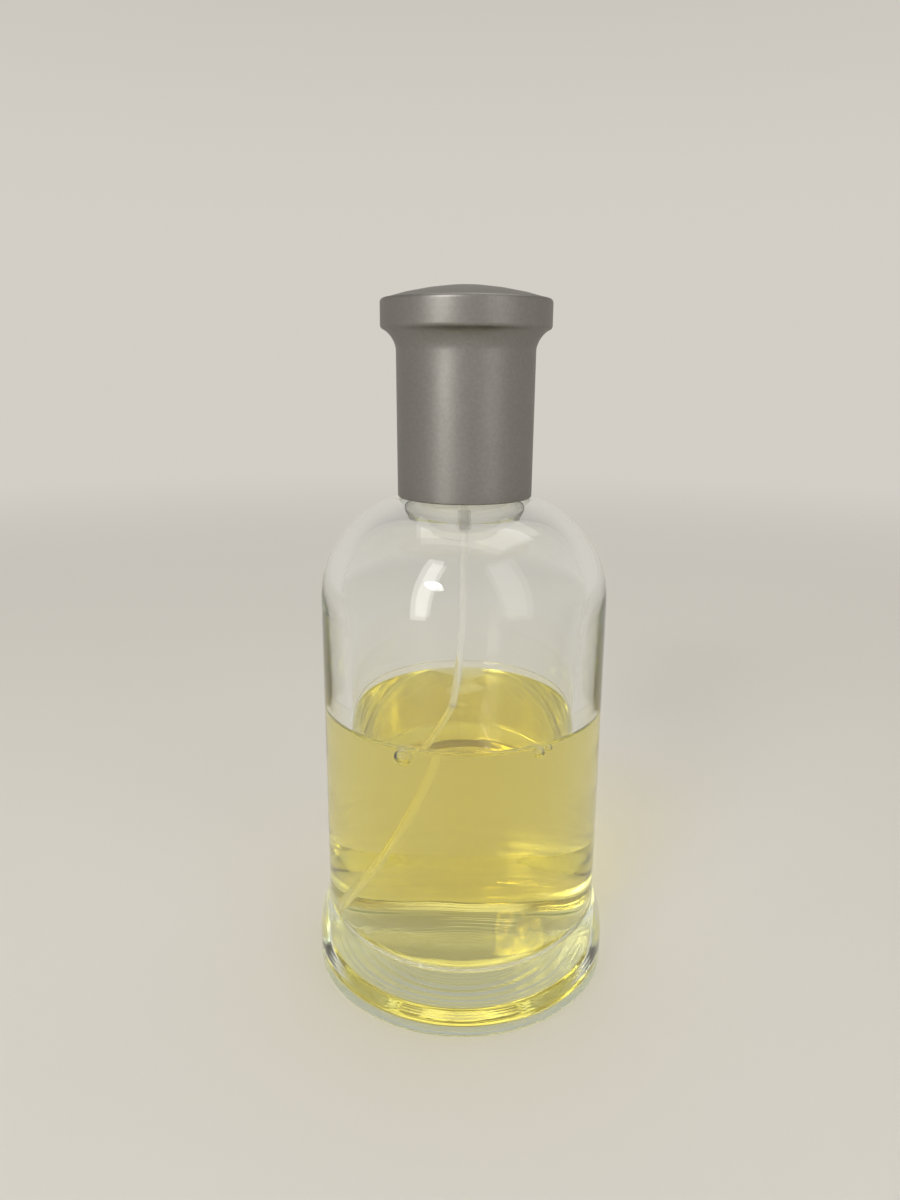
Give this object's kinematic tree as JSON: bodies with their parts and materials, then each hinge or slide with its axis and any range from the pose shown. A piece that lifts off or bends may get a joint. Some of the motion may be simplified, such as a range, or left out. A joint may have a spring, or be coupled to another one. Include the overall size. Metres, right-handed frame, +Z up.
{
  "type": "aftershave spray bottle",
  "caption": "Round thick-walled glass aftershave flask with a flared foot, a crimped pump spray with dip tube, and a broad-headed satin metal cap that lifts off.",
  "frame": {"origin": "centre of the flask's base, on the surface that it stands on", "axes": "+Z up the flask's axis to the cap's crown, -Y the way the spray nozzle points at rest, -X the way the dip tube leans"},
  "size_m": [0.071, 0.071, 0.1619],
  "materials": {
    "clear_glass": "polished, faintly green",
    "aftershave": "clear straw yellow liquid",
    "clear_plastic": "clear tube",
    "natural_plastic": "milky moulding",
    "white_plastic": "moulded",
    "grey_plastic": "moulded",
    "seal_rubber": "smooth",
    "bright_steel": "drawn",
    "bright_aluminium": "bright anodised",
    "satin_metal": "satin, fine grain"
  },
  "bodies": {
    "bottle": {"glass_bottle": "clear_glass", "aftershave_liquid": "aftershave", "dip_tube": "clear_plastic", "neck_gasket": "seal_rubber", "pump_housing": "natural_plastic", "return_spring": "bright_steel", "stem_gasket": "seal_rubber", "turret": "white_plastic", "crimp_ferrule": "bright_aluminium", "collar": "bright_aluminium"},
    "plunger": {"stem": "white_plastic", "piston": "white_plastic"},
    "button": {"spray_button": "white_plastic", "button_shell": "bright_aluminium", "nozzle_insert": "white_plastic"},
    "valve_ball": {"inlet_ball": "bright_steel"},
    "cap": {"cap_shell": "satin_metal", "cap_liner": "grey_plastic"}
  },
  "joints": [
    {"name": "cap_lift", "type": "slide", "parent": "bottle", "child": "cap", "axis": [0, 0, 1], "range_m": [0, 0.045]},
    {"name": "button_press", "type": "slide", "parent": "bottle", "child": "plunger", "axis": [0, 0, -1], "range_m": [0, 0.0036], "stiffness_N_per_m": 500, "springref_m": -0.002, "deforming": ["return_spring"]},
    {"name": "button_turn", "type": "hinge", "parent": "plunger", "child": "button", "pos_m": [0, 0, 0.14], "axis": [0, 0, 1], "continuous": true},
    {"name": "ball_lift", "type": "slide", "parent": "bottle", "child": "valve_ball", "axis": [0, 0, 1], "range_m": [0, 0.0005]}
  ]
}
